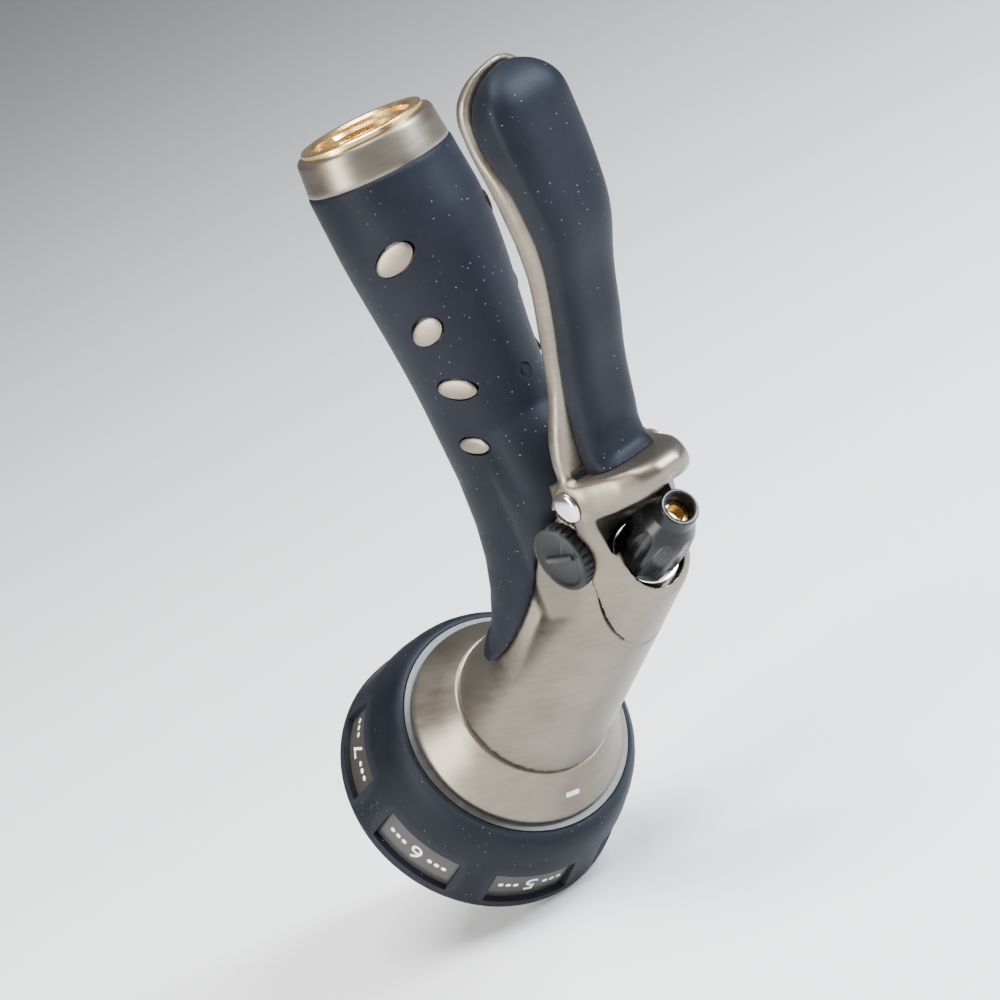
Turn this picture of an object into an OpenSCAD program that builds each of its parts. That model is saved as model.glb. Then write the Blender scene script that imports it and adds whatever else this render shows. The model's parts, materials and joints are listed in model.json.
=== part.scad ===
/* [Inlet and grip] */
// outer diameter of the metal collar at the hose inlet
collar_diameter = 40; // [38:0.5:42]
// radius of the hose thread bore (3/4 inch garden hose thread)
thread_radius = 13.5; // [13.3:0.05:13.7]
// radius of the water passage down the grip
waterway_radius = 6.5; // [5:0.5:7]
// half depth of the grip, front to back, at its fullest
grip_half_depth = 22; // [20:0.5:23]
// half width of the grip at its narrow waist
grip_waist_half_width = 15.5; // [14.5:0.25:16]
// thickness of the rubber cover on the grip
cover_thickness = 2.4; // [1.8:0.1:2.8]

/* [Barrel and head] */
// angle the spray axis drops below square to the grip
spray_drop_angle = 28; // [24:1:32]
// radius of the barrel where it meets the head
neck_radius = 22.2; // [21:0.2:23]
// radius of the sloping metal flange at its rim
flange_radius = 31.1; // [29:0.5:32]
// radius of the rubber bezel at the front rim
head_radius = 41.6; // [41:0.2:43]
// number of spray patterns on the dial
pattern_count = 7; // [5:1:7]

/* [Lever, knob and lock] */
// half width of the lever fork over the pivot
fork_half_width = 16.3; // [16:0.1:16.8]
// half width of the lever where the palm rests
lever_half_width = 13; // [12:0.25:14]
// radius of the fluted flow knob
knob_radius = 8.6; // [7.6:0.2:8.8]
// radius of the lock wheel on the side
wheel_radius = 9.4; // [8.8:0.1:9.6]
// radius of the valve stem
stem_radius = 2.5; // [2:0.1:2.6]

/* [Hidden] */
$fn = 64;
hull_sides = 32;
collar_r = collar_diameter / 2;
axis_x = 11;
axis_z = -150;
pivot_x = -33;
pivot_z = -104.7;
wheel_x = -22.5;
wheel_z = -118;
lever_top = 10.8;
ear_half = 12.4;
split_angle = 19;
running_gap = 0.06;
joint_gap = 0.4;
flange_back = 38.8;
flange_front = 53.1;
spigot_r = 17.4;
spigot_front = 50;
dial_back = 53.7;
rim_front = 87.5;
seat_back = 12;
port_ring_r = 10.5;
detent_r = 1.1;
washer_r = 12.3;
insert_ring_r = 21.5;
insert_r = 7;
band_inner_r = 36.1;
band_outer_r = 37.6;
washer_front = -48;
champagne = [0.66, 0.62, 0.56];
rubber_black = [0.07, 0.08, 0.1];
gloss_black = [0.04, 0.04, 0.05];
brass = [0.83, 0.66, 0.34];
nickel = [0.78, 0.78, 0.76];
steel = [0.62, 0.63, 0.65];
nylon = [0.9, 0.89, 0.84];

// ---- placing helpers ----
module on_barrel(t = 0) {
  translate([axis_x, 0, axis_z]) rotate([0, 90 + spray_drop_angle, 0])
    translate([0, 0, t]) children();
}
module on_pivot() { translate([pivot_x, 0, pivot_z]) rotate([90, 0, 0]) children(); }
module on_wheel() { translate([wheel_x, 0, wheel_z]) rotate([90, 0, 0]) children(); }
function barrel_r(t) = 17.95 + (neck_radius - 17.95) * t / flange_back;
function ease(u) = let (c = min(1, max(0, u))) c * c * (3 - 2 * c);

// ---- grip shape ----
function grip_b(z) = collar_r + 0.4 - (collar_r + 0.4 - grip_waist_half_width) * ease((-z - 22) / 55);
function grip_a(z) = collar_r + 0.5 + (grip_half_depth - collar_r - 0.5) * ease((-z - 8) / 22)
  - (grip_half_depth - 19.8) * ease((-z - 32) / 45);
function grip_c(z) = -1.4 * ease((-z - 8) / 20) + 2.2 * ease((-z - 35) / 45);
module grip_solid(inset, top, bottom) {
  steps = 14;
  sides = 36;
  rings = [for (i = [0:steps]) let (z = top + (bottom - top) * i / steps)
    [for (k = [0:sides - 1]) let (a = 360 * k / sides)
      [grip_c(z) + (grip_a(z) - inset) * cos(a), (grip_b(z) - inset) * sin(a), z]]];
  points = [for (r = rings) for (p = r) p];
  faces = concat([[for (k = [sides - 1:-1:0]) k]],
    [[for (k = [0:sides - 1]) steps * sides + k]],
    [for (i = [0:steps - 1]) for (k = [0:sides - 1]) let (n = (k + 1) % sides)
      [i * sides + k, i * sides + n, (i + 1) * sides + k]],
    [for (i = [0:steps - 1]) for (k = [0:sides - 1]) let (n = (k + 1) % sides)
      [(i + 1) * sides + k, i * sides + n, (i + 1) * sides + n]]);
  polyhedron(points, faces, convexity = 4);
}
module grip_slice(inset, z) {
  translate([grip_c(z), 0, z]) scale([grip_a(z) - inset, grip_b(z) - inset, 1])
    cylinder(r = 1, h = 0.1, $fn = hull_sides);
}
module saddle_solid(inset, front) {
  hull() {
    grip_slice(inset, -96);
    grip_slice(inset, -106);
    on_barrel(-22) cylinder(r1 = barrel_r(-22) + 2.3 - inset, r2 = barrel_r(2) + 2.3 - inset,
      h = 24, $fn = hull_sides);
  }
  on_barrel(-6) cylinder(r1 = barrel_r(-6) + 2.3 - inset, r2 = barrel_r(front) + 2.3 - inset,
    h = front + 6);
}
// everything above the sloping edge where the rubber stops
module above_cover_line(drop) {
  translate([-29, -60, -104.6 - drop]) rotate([0, 39.5, 0]) translate([-160, 0, 0]) cube([340, 120, 240]);
}
module behind_split(gap) {
  translate([pivot_x, 0, pivot_z]) rotate([0, -split_angle, 0]) translate([-200 - gap, -60, -100])
    cube([200, 120, 200]);
}

// ---- body ----
module body_outer() {
  translate([0, 0, -9.4]) cylinder(r1 = collar_r, r2 = collar_r - 0.9, h = 9.4);
  translate([0, 0, -14]) cylinder(r = collar_r - cover_thickness - 0.2, h = 5);
  grip_solid(cover_thickness + 0.05, 0, -100.2);
  saddle_solid(cover_thickness + 0.05, 17);
  on_barrel(-39) cylinder(r1 = barrel_r(-39), r2 = neck_radius, h = 39 + flange_back);
  on_barrel(flange_back - 1) cylinder(r = spigot_r, h = spigot_front - flange_back + 1);
}
module ear_block() {
  hull() {
    across(pivot_x, pivot_z, 6, ear_half);
    across(-19, -104, 5, ear_half);
    across(-19, -121, 5, ear_half);
    across(wheel_x - 1, wheel_z + 1, 5.6, ear_half);
  }
}
// raised side of the body that carries the lock wheel
module wheel_pad() {
  intersection() {
    hull() {
      across(-12, -108, 6, 15);
      across(-8, -134, 6, 15);
      across(-24, -117, 8, 15);
      on_barrel(-30) cylinder(r = 12, h = 30, $fn = hull_sides);
    }
    ahead_of_split();
  }
}
module ahead_of_split() {
  translate([pivot_x, 0, pivot_z]) rotate([0, -split_angle, 0]) translate([0, -60, -100])
    cube([200, 120, 97]);
}
module body_casting() {
  color(champagne) difference() {
    union() {
      difference() {
        union() { body_outer(); wheel_pad(); }
        difference() {
          behind_split(0);
          translate([-60, -40, pivot_z - 1]) cube([120, 80, 120]);
        }
      }
      ear_block();
      on_barrel(-36.5) cylinder(r = 9.8, h = 20);
    }
    // inlet socket, water passage, valve chamber, front plenum
    translate([0, 0, -18]) cylinder(r = 15.5, h = 20);
    translate([0, 0, -141]) cylinder(r = waterway_radius, h = 130);
    on_barrel(-26) cylinder(r = 7.6, h = 26 + seat_back + 1);
    on_barrel(seat_back) cylinder(r = 9.5, h = 40);
    on_barrel(44) cylinder(r = 15, h = 20);
    on_barrel(-60) cylinder(r = 6, h = 60);
    // room for the knob, the washer and the forked web of the lever
    on_barrel(-95) cylinder(r = 10.4, h = 58.5);
    on_barrel(-60) translate([-5.6, -30, 0]) cube([40, 60, 23.4]);
    // pivot bore and lock shaft bore
    on_pivot() translate([0, 0, -30]) cylinder(r = 3, h = 60);
    on_wheel() translate([0, 0, -30]) cylinder(r = 3.5 + running_gap, h = 30 - 10.4);
  }
}
module grip_cover() {
  color(rubber_black) difference() {
    intersection() {
      union() { grip_solid(0, -9.5, -100); saddle_solid(0, 17); }
      above_cover_line(0);
    }
    grip_solid(cover_thickness, 0, -100.2);
    saddle_solid(cover_thickness, 18);
    on_barrel(-60) cylinder(r1 = barrel_r(-60) + 0.05, r2 = neck_radius + 0.05, h = 60 + flange_back);
    translate([-60, -40, -130]) cube([37, 80, 40]);
    translate([-60, -40, -104]) cube([42, 80, 9]);
    wheel_pad();
    ear_block();
    for (side = [1, -1]) for (k = [0:3]) scale([1, side, 1]) leaf(k, 0);
  }
}
// leaf shaped metal inlays let into the sides of the grip
leaf_x = [-12.6, -9.7, -8, -4.6];
leaf_z = [-30.3, -51.5, -69, -85];
leaf_long = [6.5, 5.3, 5.9, 4.8];
leaf_tall = [3.5, 3.4, 2.9, 2.4];
leaf_tilt = [20, 20, -16, -14];
// one leaf on the left side, standing square to the grip surface
module leaf(k, grow) {
  z = leaf_z[k];
  dx = leaf_x[k] - grip_c(z);
  y = grip_b(z) * sqrt(1 - pow(dx / grip_a(z), 2));
  facing = atan2(y / pow(grip_b(z), 2), dx / pow(grip_a(z), 2));
  translate([leaf_x[k], y, z]) rotate([0, 0, facing]) rotate([0, 90, 0]) rotate([0, 0, leaf_tilt[k]])
    translate([0, 0, -cover_thickness - 0.6]) scale([leaf_tall[k] + grow, leaf_long[k] + grow, 1])
      cylinder(r1 = 1, r2 = 0.9, h = cover_thickness + 1, $fn = 96);
}
module inlay(k, side) {
  color(champagne) difference() {
    scale([1, side, 1]) leaf(k, -0.06);
    grip_solid(cover_thickness, 0, -100.2);
  }
}
module inlay_left_1() { inlay(0, 1); }
module inlay_left_2() { inlay(1, 1); }
module inlay_left_3() { inlay(2, 1); }
module inlay_left_4() { inlay(3, 1); }
module inlay_right_1() { inlay(0, -1); }
module inlay_right_2() { inlay(1, -1); }
module inlay_right_3() { inlay(2, -1); }
module inlay_right_4() { inlay(3, -1); }

module flange_ring() {
  color(champagne) on_barrel(0) difference() {
    union() {
      translate([0, 0, flange_back])
        cylinder(r1 = neck_radius + 0.4, r2 = flange_radius, h = flange_front - flange_back - 1.6);
      translate([0, 0, flange_front - 1.6]) cylinder(r = flange_radius, h = 1.6);
    }
    translate([0, 0, flange_back - 1]) cylinder(r = spigot_r + 0.02, h = 20);
    translate([0, 0, flange_back + 6])
      cylinder(r1 = spigot_r, r2 = flange_radius - 2.4, h = flange_front - flange_back - 5.9);
    rotate([0, 0, index_turn]) translate([26.6, 0, 45.6]) rotate([0, -58, 0])
      cube([1.5, 4.2, 3], center = true);
  }
}
index_turn = 14;
module index_mark() {
  color([0.95, 0.95, 0.93]) on_barrel(0) difference() {
    rotate([0, 0, index_turn]) translate([26.6, 0, 45.6]) rotate([0, -58, 0])
      cube([1.46, 4.16, 2.6], center = true);
    translate([0, 0, flange_back + 6])
      cylinder(r1 = spigot_r, r2 = flange_radius - 2.4, h = flange_front - flange_back - 5.9);
  }
}
module inlet_bush() {
  color(brass) difference() {
    union() {
      translate([0, 0, -17.9]) cylinder(r = 15.45, h = 18);
      translate([0, 0, 0.02]) cylinder(r = 17.2, h = 1.6);
    }
    translate([0, 0, -12.4]) cylinder(r = thread_radius, h = 20);
    translate([0, 0, -15]) cylinder(r = washer_r + 0.1, h = 10);
    translate([0, 0, -20]) cylinder(r = waterway_radius, h = 10);
  }
}
module inlet_washer() {
  color(rubber_black) translate([0, 0, -14.98]) difference() {
    cylinder(r = washer_r, h = 2.54);
    translate([0, 0, -1]) cylinder(r = 8, h = 5);
  }
}
module valve_seat() {
  color(nylon) on_barrel(seat_back + 0.02) difference() {
    cylinder(r = 9.48, h = 3);
    translate([0, 0, -1]) cylinder(r = 5, h = 5);
  }
}
module gland_nut() {
  color(brass) on_barrel(0) difference() {
    union() {
      translate([0, 0, -41]) cylinder(r = 7.4, h = 4.48, $fn = 6);
      translate([0, 0, -37]) cylinder(r = 5.98, h = 8.5);
    }
    translate([0, 0, -42]) cylinder(r = stem_radius + running_gap, h = 20);
  }
}
module stem_packing() {
  color(rubber_black) on_barrel(-28.4) difference() {
    cylinder(r = 5.95, h = 2.4);
    translate([0, 0, -1]) cylinder(r = stem_radius + 0.1, h = 5);
  }
}
module port_plate() {
  color(nylon) on_barrel(0) difference() {
    union() {
      translate([0, 0, 46]) cylinder(r = 5.5, h = 6);
      translate([0, 0, spigot_front + 0.02]) cylinder(r = 17.2, h = 3.2);
    }
    translate([0, 0, 44]) cylinder(r = 2.02, h = 20);
    translate([-port_ring_r, 0, 44]) cylinder(r = 3, h = 20);
    translate([-port_ring_r, 0, 51.8]) cylinder(r = 4.4, h = 3);
    translate([port_ring_r, 0, 50.7]) cylinder(r = detent_r + 0.1, h = 5);
  }
}
module port_gasket() {
  color(rubber_black) on_barrel(0) translate([-port_ring_r, 0, 51.82]) difference() {
    cylinder(r = 4.35, h = 1.6);
    translate([0, 0, -1]) cylinder(r = 3, h = 4);
  }
}
module centre_screw() {
  color(steel) on_barrel(0) {
    difference() {
      union() {
        translate([0, 0, 46.5]) cylinder(r = 2, h = 7);
        translate([0, 0, 53.24]) cylinder(r = 4, h = 9.2);
        translate([0, 0, 62.4]) cylinder(r = 6.6, h = 3);
      }
      translate([0, 0, 63.6]) cylinder(r = 2.4, h = 4, $fn = 6);
    }
  }
}
module detent_ball() {
  color(steel) on_barrel(0) translate([port_ring_r, 0, 52.1]) sphere(r = detent_r, $fn = 32);
}
module detent_spring() {
  color(steel) on_barrel(0) translate([port_ring_r, 0, 50.72]) difference() {
    cylinder(r = detent_r, h = 0.24);
    translate([0, 0, -1]) cylinder(r = 0.7, h = 3);
  }
}
module pivot_pin() {
  color(nickel) on_pivot() {
    translate([0, 0, -fork_half_width - 0.7]) cylinder(r = 2.96, h = 2 * fork_half_width + 3.2);
    difference() {
      translate([0, 0, -fork_half_width - 0.45]) scale([1, 1, 0.42]) sphere(r = 4.4);
      translate([0, 0, -fork_half_width - 0.3]) cylinder(r = 10, h = 10);
    }
  }
}
module pin_clip() {
  color(steel) on_pivot() translate([0, 0, fork_half_width + 0.45]) difference() {
    cylinder(r = 4.8, h = 1);
    translate([0, 0, -1]) cylinder(r = 2.98, h = 4);
  }
}

// ---- lever ----
// edges of the lever seen from the side, as [height, distance behind the thread axis]
lever_front_edge = [[-101, -30], [-89, -30.4], [-75, -35.6], [-60, -41.8], [-47, -48],
  [-35, -51.7], [-20, -53.8], [-5, -54.4], [3, -55.4], [8, -58.4], [10.8, -62.5]];
lever_seam = [[-101, -35.6], [-87, -38.6], [-71, -44.8], [-62, -49.3], [-52, -54.3],
  [-42, -58.8], [-34, -60.8], [-20, -61.9], [-9, -59.3], [0, -60.6], [5, -62.6], [8.6, -65.2], [10.8, -67.4]];
lever_rear = [[-101, -47], [-96, -44.4], [-87, -47.5], [-74, -52.2], [-62, -58.5], [-50, -63.6],
  [-35, -71.4], [-20, -73.2], [-3, -74.4], [3, -73.6], [7, -71.2], [9.4, -68.6]];
function edge(z, e) = -lookup(-z, [for (i = [len(e) - 1:-1:0]) [-e[i][0], -e[i][1]]]);
// half width of the rubber pad and of the metal arm in front of it
function pad_w(z) = 9.6 + (lever_half_width - 9.6) * ease((z + 62) / 56) - 6.5 * ease((z + 1) / 12);
function arm_w(z) = pad_w(z) + 5.2 * ease((-z - 66) / 36);
// solid between two side edges, square in front and rounded behind
module lever_run(front, rear, front_w, grow, low, high, round_rear) {
  steps = 16;
  arc = 8;
  rings = [for (i = [0:steps]) let (z = low + (high - low) * i / steps,
      f = edge(z, front) + grow, r = edge(z, rear) - grow, d = max(1.2, f - r),
      w = (front_w ? arm_w(z) : pad_w(z)) + grow, v = pad_w(z) + grow)
    concat([[f, -w, z], [f, w, z]],
      [for (k = [0:arc]) let (a = 180 * k / arc)
        round_rear ? [f - d * (0.06 + 0.94 * sin(a)), v * cos(a), z]
                   : [f - d * (k == 0 || k == arc ? 0.94 : 1), v * cos(a), z]])];
  n = arc + 3;
  points = [for (r = rings) for (p = r) p];
  faces = concat([[for (k = [0:n - 1]) k]], [[for (k = [n - 1:-1:0]) steps * n + k]],
    [for (i = [0:steps - 1]) for (k = [0:n - 1]) let (m = (k + 1) % n)
      [i * n + k, (i + 1) * n + k, i * n + m]],
    [for (i = [0:steps - 1]) for (k = [0:n - 1]) let (m = (k + 1) % n)
      [(i + 1) * n + k, (i + 1) * n + m, i * n + m]]);
  polyhedron(points, faces, convexity = 6);
}
module across(x, z, r, half) {
  translate([x, half, z]) rotate([90, 0, 0]) cylinder(r = r, h = 2 * half, $fn = hull_sides);
}
module hood_outer() {
  intersection() {
    hull() {
      across(pivot_x, pivot_z, 6, fork_half_width);
      across(-32, -112, 4.6, 15.6);
      on_barrel(-50) cylinder(r1 = barrel_r(-50), r2 = barrel_r(-18), h = 32, $fn = hull_sides);
      on_barrel(-54) translate([-3.5, 0, 0]) scale([0.8, 1, 1])
        cylinder(r1 = 14.4, r2 = 15.4, h = 20, $fn = hull_sides);
    }
    union() {
      intersection() {
        behind_split(joint_gap);
        translate([-37.4, -40, -180]) cube([60, 80, 76]);
      }
      translate([-60, -40, pivot_z - 0.5]) cube([62, 80, 40]);
    }
  }
}
module brim() {
  hull() {
    across(-55.4, -104, 4, 5);
    across(-48.6, -104.4, 4.6, 8.8);
    across(-36, -105, 5.6, 14.2);
  }
}
module lever_frame() {
  color(champagne) difference() {
    union() {
      difference() {
        union() {
          lever_run(lever_front_edge, lever_seam, true, 0, -101, lever_top, false);
          hood_outer();
          brim();
        }
        // hollow front of the arm and room for the body ear and boss
        translate([2.4, 0, 0]) intersection() {
          lever_run(lever_front_edge, lever_seam, true, -2.2, -112, 5, false);
          translate([-90, -40, -84]) cube([90, 80, 98]);
        }
        hull() {
          across(pivot_x, pivot_z, 7, ear_half + 0.4);
          across(-14, -92, 10, ear_half + 0.4);
          across(-16, -84, 10, 9);
          across(-30, -117, 8, ear_half + 0.4);
        }
        on_barrel(-71.5) cylinder(r = 10.4, h = 61);
        on_barrel(-95) translate([1, 0, 0]) cylinder(r = 7.4, h = 40);
        on_barrel(-42.6) hull() {
          cylinder(r = 10.8, h = 34, $fn = hull_sides);
          translate([-12, 0, 0]) cylinder(r = 13, h = 34, $fn = hull_sides);
        }
        on_barrel(-52) translate([-4, 0, 0]) cylinder(r1 = 13, r2 = 11.2, h = 6.4, $fn = hull_sides);
        // recess swept by the lock wheel
        for (m = [0:1]) for (u = [0, 3]) translate([wheel_x + u, m == 0 ? 35 : -14.9, wheel_z + u / 2])
          rotate([90, 0, 0]) cylinder(r = wheel_radius + 0.6, h = 20);
      }
      // forked web that pulls the stem, with rounded noses
      intersection() {
        on_barrel(-45.6) difference() {
          translate([-5.2, -20, 0]) cube([26, 40, 3]);
          translate([-8, -3.4, -1]) cube([12, 6.8, 6]);
        }
        on_barrel(-50) translate([-1.5, 0, 0]) cylinder(r = 12.2, h = 10);
      }
      for (s = [1, -1]) on_barrel(washer_front + 3.03) translate([0, s * 6 + 2.2, 0]) rotate([90, 0, 0])
        cylinder(r = 3, h = 4.4);
    }
    on_pivot() translate([0, 0, -30]) cylinder(r = 3.02, h = 60);
  }
}
module lever_pad() {
  color(rubber_black) difference() {
    lever_run(lever_seam, lever_rear, false, 0.25, -100, lever_top - 2.4, true);
    lever_run(lever_front_edge, lever_seam, true, 0.02, -101, lever_top, false);
    hood_outer();
    brim();
    on_barrel(-95) cylinder(r = 11, h = 60);
  }
}

// ---- valve ----
module valve_stem() {
  color(brass) on_barrel(-69) cylinder(r = stem_radius, h = 83.4);
}
module plunger() {
  color(brass) on_barrel(6) difference() {
    cylinder(r = 6.4, h = 3.5);
    translate([0, 0, -1]) cylinder(r = stem_radius, h = 6);
  }
}
module plunger_seal() {
  color(rubber_black) on_barrel(9.5) difference() {
    cylinder(r = 6.6, h = 2.48);
    translate([0, 0, -1]) cylinder(r = stem_radius, h = 6);
  }
}
module plunger_nut() {
  color(brass) on_barrel(11.98) difference() {
    cylinder(r = 4.2, h = 2.4, $fn = 6);
    translate([0, 0, -1]) cylinder(r = stem_radius, h = 6);
  }
}
module return_spring() {
  turns = 6;
  wire = 0.6;
  coil = 4.4;
  length = 23.6;
  steps = turns * 16;
  ring = 8;
  points = [for (i = [0:steps]) let (a = 360 * turns * i / steps) for (k = [0:ring - 1])
    let (b = 360 * k / ring) [(coil + wire * cos(b)) * cos(a), (coil + wire * cos(b)) * sin(a),
      wire + 0.01 + (length - 2 * wire) * i / steps + wire * sin(b)]];
  faces = concat([[for (k = [0:ring - 1]) k]], [[for (k = [ring - 1:-1:0]) steps * ring + k]],
    [for (i = [0:steps - 1]) for (k = [0:ring - 1]) let (m = (k + 1) % ring)
      [i * ring + k, (i + 1) * ring + k, i * ring + m]],
    [for (i = [0:steps - 1]) for (k = [0:ring - 1]) let (m = (k + 1) % ring)
      [(i + 1) * ring + k, (i + 1) * ring + m, i * ring + m]]);
  color(steel) on_barrel(6 - length) polyhedron(points, faces, convexity = 10);
}
module thrust_washer() {
  color(nickel) on_barrel(washer_front - 2) difference() {
    cylinder(r = 9.2, h = 2);
    translate([0, 0, -1]) cylinder(r = stem_radius, h = 4);
  }
}
module flow_knob() {
  flutes = 14;
  color(gloss_black) on_barrel(-74.6) difference() {
    union() {
      cylinder(r = 5.3, h = 8);
      translate([0, 0, 6]) cylinder(r1 = 5.3, r2 = knob_radius, h = 3);
      translate([0, 0, 8.98]) cylinder(r = knob_radius, h = 15.57);
    }
    translate([0, 0, -1]) cylinder(r = 3.92, h = 40);
    for (k = [0:flutes - 1]) rotate([0, 0, 360 * k / flutes]) translate([knob_radius + 0.7, 0, 7])
      cylinder(r = 1.25, h = 20);
  }
}
module knob_insert() {
  color(brass) on_barrel(-70.6) difference() {
    cylinder(r = 3.9, h = 20.5);
    translate([0, 0, -1]) cylinder(r = stem_radius + 0.04, h = 30);
  }
}

// ---- lock wheel ----
module lock_wheel() {
  teeth = 28;
  color(gloss_black) on_wheel() difference() {
    union() {
      translate([0, 0, -18.6]) cylinder(r = wheel_radius, h = 3.4);
      translate([0, 0, -19.1]) linear_extrude(1) square([11, 1.4], center = true);
    }
    translate([0, 0, -17]) cylinder(r = 3.5, h = 5.4);
    for (k = [0:teeth - 1]) rotate([0, 0, 360 * k / teeth]) translate([wheel_radius + 0.35, 0, -22])
      cylinder(r = 0.75, h = 8);
  }
}
module lock_shaft() {
  color(steel) on_wheel() {
    translate([0, 0, -16.99]) cylinder(r = 3.5, h = 6.2);
  }
}

// ---- dial ----
module around_dial() {
  for (k = [0:pattern_count - 1]) rotate([0, 0, 180 + 360 * k / pattern_count]) children();
}
module dial_body() {
  color(gloss_black) on_barrel(0) difference() {
    union() {
      translate([0, 0, dial_back]) cylinder(r = 32.94, h = 4);
      translate([0, 0, dial_back + 0.7]) difference() {
        cylinder(r1 = 32.94, r2 = band_inner_r - 0.06, h = 7.8);
        translate([0, 0, 3.3]) cylinder(r = 31.5, h = 20);
      }
      translate([0, 0, dial_back + 8.5]) difference() {
        cylinder(r = band_inner_r - 0.06, h = 23);
        translate([0, 0, -1]) cylinder(r = 33.4, h = 30);
      }
      translate([0, 0, dial_back + 3]) cylinder(r = 14, h = 5.6);
      around_dial() translate([insert_ring_r, 0, dial_back + 3]) cylinder(r = 8.4, h = 23.4);
    }
    translate([0, 0, 50]) cylinder(r = 4 + running_gap, h = 20);
    around_dial() {
      translate([port_ring_r, 0, 50]) cylinder(r = 3, h = 9.6);
      translate([port_ring_r, 0, dial_back + 5.4]) rotate([0, 90, 0])
        cylinder(r = 2.4, h = insert_ring_r - port_ring_r);
      translate([insert_ring_r, 0, dial_back + 3.2]) cylinder(r = insert_r + 0.02, h = 30);
    }
  }
}
module face_plate() {
  color(gloss_black) on_barrel(80.3) difference() {
    cylinder(r = 33.38, h = 4);
    around_dial() translate([insert_ring_r, 0, -1]) cylinder(r = insert_r + 0.02, h = 10);
    translate([0, 0, 3]) cylinder(r = 11, h = 5);
  }
}
module insert_cup(k) {
  on_barrel(0) rotate([0, 0, 180 + 360 * k / pattern_count]) translate([insert_ring_r, 0, 76]) difference() {
    cylinder(r = insert_r, h = 9);
    translate([0, 0, -1]) cylinder(r = insert_r - 1.6, h = 8);
    translate([0, 0, -2]) children();
  }
}
module ring_of_holes(count, ring, r) {
  for (k = [0:count - 1]) rotate([0, 0, 360 * k / count]) translate([ring, 0, 0])
    cylinder(r = r, h = 20, $fn = 24);
}
module insert_1() { color(steel) insert_cup(0) cylinder(r = 1.8, h = 20); }
module insert_2() { color(steel) insert_cup(1) translate([-0.6, -4.4, 0]) cube([1.2, 8.8, 20]); }
module insert_3() { color(steel) insert_cup(2) ring_of_holes(8, 4, 0.5); }
module insert_4() {
  color(steel) insert_cup(3) { ring_of_holes(10, 4.2, 0.55); ring_of_holes(5, 2.1, 0.55); }
}
module insert_5() { color(steel) insert_cup(4) ring_of_holes(3, 1.8, 0.5); }
module insert_6() { color(steel) insert_cup(5) { cylinder(r = 2.6, h = 20); ring_of_holes(6, 4.4, 0.5); } }
module insert_7() { color(steel) insert_cup(6) { ring_of_holes(4, 3.4, 1.1); } }
module label_band() {
  color([0.17, 0.15, 0.14]) on_barrel(0) difference() {
    translate([0, 0, 67]) cylinder(r = band_outer_r, h = 19.6);
    translate([0, 0, 60]) cylinder(r = band_inner_r, h = 40);
  }
}
module bezel_grip() {
  window_half_angle = 18;
  color(rubber_black) on_barrel(0) difference() {
    rotate_extrude($fn = 96) polygon([[band_inner_r + 0.02, 62.2], [33.04, 54.4],
      [33.04, 53.9], [34.4, 54.2], [36.2, 56.6], [37.6, 60.4], [38.6, 66], [39.2, 68.4],
      [head_radius, 86.4], [head_radius - 0.8, rim_front], [band_outer_r - 1.4, rim_front],
      [band_outer_r - 1.4, 86.64], [band_outer_r + 0.02, 86.64], [band_outer_r + 0.02, 66.96],
      [band_inner_r + 0.02, 66.96]]);
    around_dial() intersection() {
      translate([0, 0, 70.6]) difference() {
        cylinder(r = 60, h = 13.2);
        translate([0, 0, -1]) cylinder(r = band_outer_r - 1, h = 20);
      }
      rotate([0, 0, -window_half_angle]) cube([80, 80, 120]);
      rotate([0, 0, window_half_angle]) translate([0, -80, 0]) cube([80, 80, 120]);
    }
  }
}

body_casting();
grip_cover();
inlay_left_1();
inlay_left_2();
inlay_left_3();
inlay_left_4();
inlay_right_1();
inlay_right_2();
inlay_right_3();
inlay_right_4();
flange_ring();
index_mark();
inlet_bush();
inlet_washer();
valve_seat();
gland_nut();
stem_packing();
port_plate();
port_gasket();
centre_screw();
detent_ball();
detent_spring();
pivot_pin();
pin_clip();
lever_frame();
lever_pad();
valve_stem();
plunger();
plunger_seal();
plunger_nut();
return_spring();
thrust_washer();
flow_knob();
knob_insert();
lock_wheel();
lock_shaft();
dial_body();
bezel_grip();
label_band();
face_plate();
insert_1();
insert_2();
insert_3();
insert_4();
insert_5();
insert_6();
insert_7();
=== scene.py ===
import json
import math

import bmesh
import bpy
from mathutils import Matrix, Vector


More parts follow.
